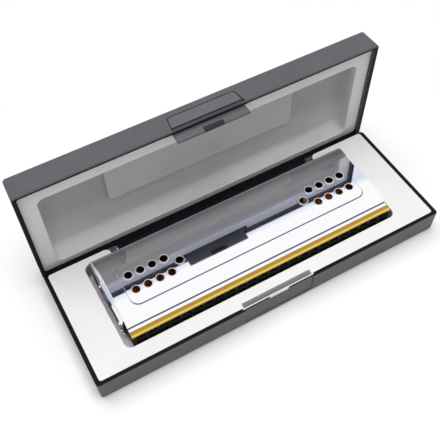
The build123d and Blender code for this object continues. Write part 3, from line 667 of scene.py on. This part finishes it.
bpy.ops.object.select_all(action="DESELECT")
bpy.ops.mesh.primitive_circle_add(vertices=BEAD_SIDES, radius=BEAD_RADIUS,
                                  location=(0.0, 0.0, 0.0))
first_rim = bpy.context.object
bead_turn = Matrix.Rotation(QUARTER_TURN, 4, "X") @ Matrix.Rotation(-QUARTER_TURN, 4, "Z")
first_rim.data.transform(Matrix.Translation((RIM_RADIUS, 0.0, 0.0)) @ bead_turn)
bpy.ops.object.mode_set(mode="EDIT")
bpy.ops.mesh.select_all(action="SELECT")
bpy.ops.mesh.spin(steps=RIM_STEPS, angle=math.tau, center=(0.0, 0.0, 0.0), axis=UP)
bpy.ops.mesh.select_all(action="SELECT")
bpy.ops.mesh.remove_doubles(threshold=SEAM_GAP)
bpy.ops.mesh.normals_make_consistent(inside=False)
bpy.ops.object.mode_set(mode="OBJECT")
bpy.ops.object.shade_smooth()
print("one rim of", len(first_rim.data.polygons), "faces")

# %% [markdown]
# ## Rims on every hole
# Each end of a cover has two rows of four holes and a single hole between them. An array modifier
# could repeat a row, but the holes lie on two faces and mirror end for end, so a short loop
# copies the rim, with its own mesh, to each place. Joined into one piece, the rims ride the harmonica.

# %% Hole rims
HARP_HEIGHT = 0.0140
COLLAR_RISE = 0.0109
RIM_SUNK = 0.00028
HOLE_OUTER = 0.0700
HOLE_PITCH = 0.00727
HOLE_LINE = 0.00415
HOLE_ROW = 0.00515
HOLES_IN_ROW = 4
RIM_CHROME = (0.96, 0.96, 0.97, 1.0)
RIM_ROUGHNESS = 0.35

SIDES = (-1, 1)
hole_places = [(side * (HOLE_OUTER - step * HOLE_PITCH), HOLE_LINE + row * HOLE_ROW)
               for side in SIDES for row in SIDES for step in range(HOLES_IN_ROW)]
hole_places += [(side * (HOLE_OUTER - HOLES_IN_ROW * HOLE_PITCH), HOLE_LINE) for side in SIDES]
rims = []
for face in SIDES:
    height = HARP_HEIGHT + face * (COLLAR_RISE - RIM_SUNK)
    for across, along in hole_places:
        rim = first_rim.copy()
        rim.data = first_rim.data.copy()
        rim.data.transform(Matrix.Translation((HARP_MIDDLE + across, along, height)))
        bpy.context.scene.collection.objects.link(rim)
        rims.append(rim)
bpy.data.objects.remove(first_rim, do_unlink=True)

bpy.ops.object.select_all(action="DESELECT")
for rim in rims:
    rim.select_set(True)
hole_rims = rims[0]
bpy.context.view_layer.objects.active = hole_rims
bpy.ops.object.join()
hole_rims.name = "hole_rims"
hole_rims.data.name = "hole_rims"
burnished_rim = metal("burnished_rim", RIM_CHROME, RIM_ROUGHNESS, scale=ROLLED_SCALE,
                      depth=POLISH_DEPTH)
hole_rims.data.materials.append(burnished_rim)
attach(hole_rims, "harmonica")
print("rims on", len(hole_places) * len(SIDES), "holes")

# %% [markdown]
# ## The floor
# A pale floor carries the soft shadow of the case and melts into the white surround. More light would
# also whiten it, and the case with it. So its white comes from its own colour and from a faint
# glow that only the camera and mirror-like surfaces see. Further out it is fully white to them.

# %% Floor
FLOOR_SIZE = 8.0
FLOOR_HEIGHT = -0.0002
FLOOR_PAPER = (0.97, 0.97, 0.97, 1.0)
WHITE = (1.0, 1.0, 1.0, 1.0)
FLOOR_LIFT = 0.03
FADE_START = 0.13
FADE_END = 0.21


def seen_directly(tree):
    """One for what the camera or a mirror-like surface sees, and none for the light's own paths."""
    path = put(tree, "ShaderNodeLightPath").outputs
    return combine(tree, "MAXIMUM", path["Is Camera Ray"], path["Is Glossy Ray"])


bpy.ops.object.select_all(action="DESELECT")
bpy.ops.mesh.primitive_plane_add(size=FLOOR_SIZE, location=(0.0, 0.0, 0.0))
floor = bpy.context.object
floor.name = "floor"
floor.data.transform(Matrix.Translation((0.0, 0.0, FLOOR_HEIGHT)))

floor_white, tree, output = new_material("floor_white")
seen = seen_directly(tree)
paper = put(tree, "ShaderNodeBsdfDiffuse", {"Color": FLOOR_PAPER})
lift = combine(tree, "MULTIPLY", seen, FLOOR_LIFT)
glow = put(tree, "ShaderNodeEmission", {"Color": WHITE, "Strength": lift})
lifted = put(tree, "ShaderNodeAddShader",
             {0: paper.outputs["BSDF"], 1: glow.outputs["Emission"]})
place = put(tree, "ShaderNodeTexCoord").outputs["Object"]
distance = put(tree, "ShaderNodeVectorMath", {0: place}, operation="LENGTH").outputs["Value"]
fade = combine(tree, "MULTIPLY", remap(tree, distance, FADE_START, FADE_END, 0.0, 1.0), seen)
far_white = put(tree, "ShaderNodeEmission", {"Color": WHITE, "Strength": 1.0})
surface = put(tree, "ShaderNodeMixShader",
              {"Fac": fade, 1: lifted.outputs["Shader"], 2: far_white.outputs["Emission"]})
tree.links.new(surface.outputs["Shader"], output.inputs["Surface"])
floor.data.materials.append(floor_white)
print("floor of", FLOOR_SIZE, "m")

# %% [markdown]
# ## The surround
# The world is plain white to the camera and to mirror-like surfaces, so that chrome and brass show
# a bright room. White cards could stand round the case instead. A world needs no mesh and has no
# corners. As a light it is much weaker, which keeps the colours at the level they are written with.

# %% Surround
SURROUND_LIGHT = 0.36
SURROUND_WHITE = 1.0

world = bpy.data.worlds.new("surround")
bpy.context.scene.world = world
world.use_nodes = True
tree = world.node_tree
tree.nodes.clear()
output = tree.nodes.new("ShaderNodeOutputWorld")
strength = remap(tree, seen_directly(tree), 0.0, 1.0, SURROUND_LIGHT, SURROUND_WHITE)
sky = put(tree, "ShaderNodeBackground", {"Color": WHITE, "Strength": strength})
tree.links.new(sky.outputs["Background"], output.inputs["Surface"])
print("surround lights with", SURROUND_LIGHT)

# %% [markdown]
# ## Two soft lamps
# Two large square lamps hang high above the case, one a little to the front and one behind it. From
# there they light the tray and the top of the lid evenly and leave a soft shadow all round. One small
# lamp would be simpler, but its shadows would be hard, above all inside the lid. Mirror-like surfaces
# don't see the lamps, as their sharp reflections would break up the chrome.

# %% Lamps
KEY_PLACE = (0.03, -0.18, 1.15)
KEY_SIZE = 0.6
KEY_WATTS = 6.2
BACK_PLACE = (-0.10, 0.42, 1.15)
BACK_SIZE = 0.8
BACK_WATTS = 5.4


def soft_lamp(name, place, size, watts):
    """A square area lamp at a place, turned towards the case."""
    data = bpy.data.lights.new(name, "AREA")
    data.size = size
    data.energy = watts
    lamp = bpy.data.objects.new(name, data)
    lamp.visible_glossy = False
    turn = (-Vector(place)).to_track_quat("-Z", "Y").to_matrix().to_4x4()
    lamp.matrix_world = Matrix.Translation(place) @ turn
    bpy.context.scene.collection.objects.link(lamp)
    print(name, "lamp of", watts, "W")


soft_lamp("key", KEY_PLACE, KEY_SIZE, KEY_WATTS)
soft_lamp("back", BACK_PLACE, BACK_SIZE, BACK_WATTS)
bpy.context.scene.view_settings.view_transform = "Standard"
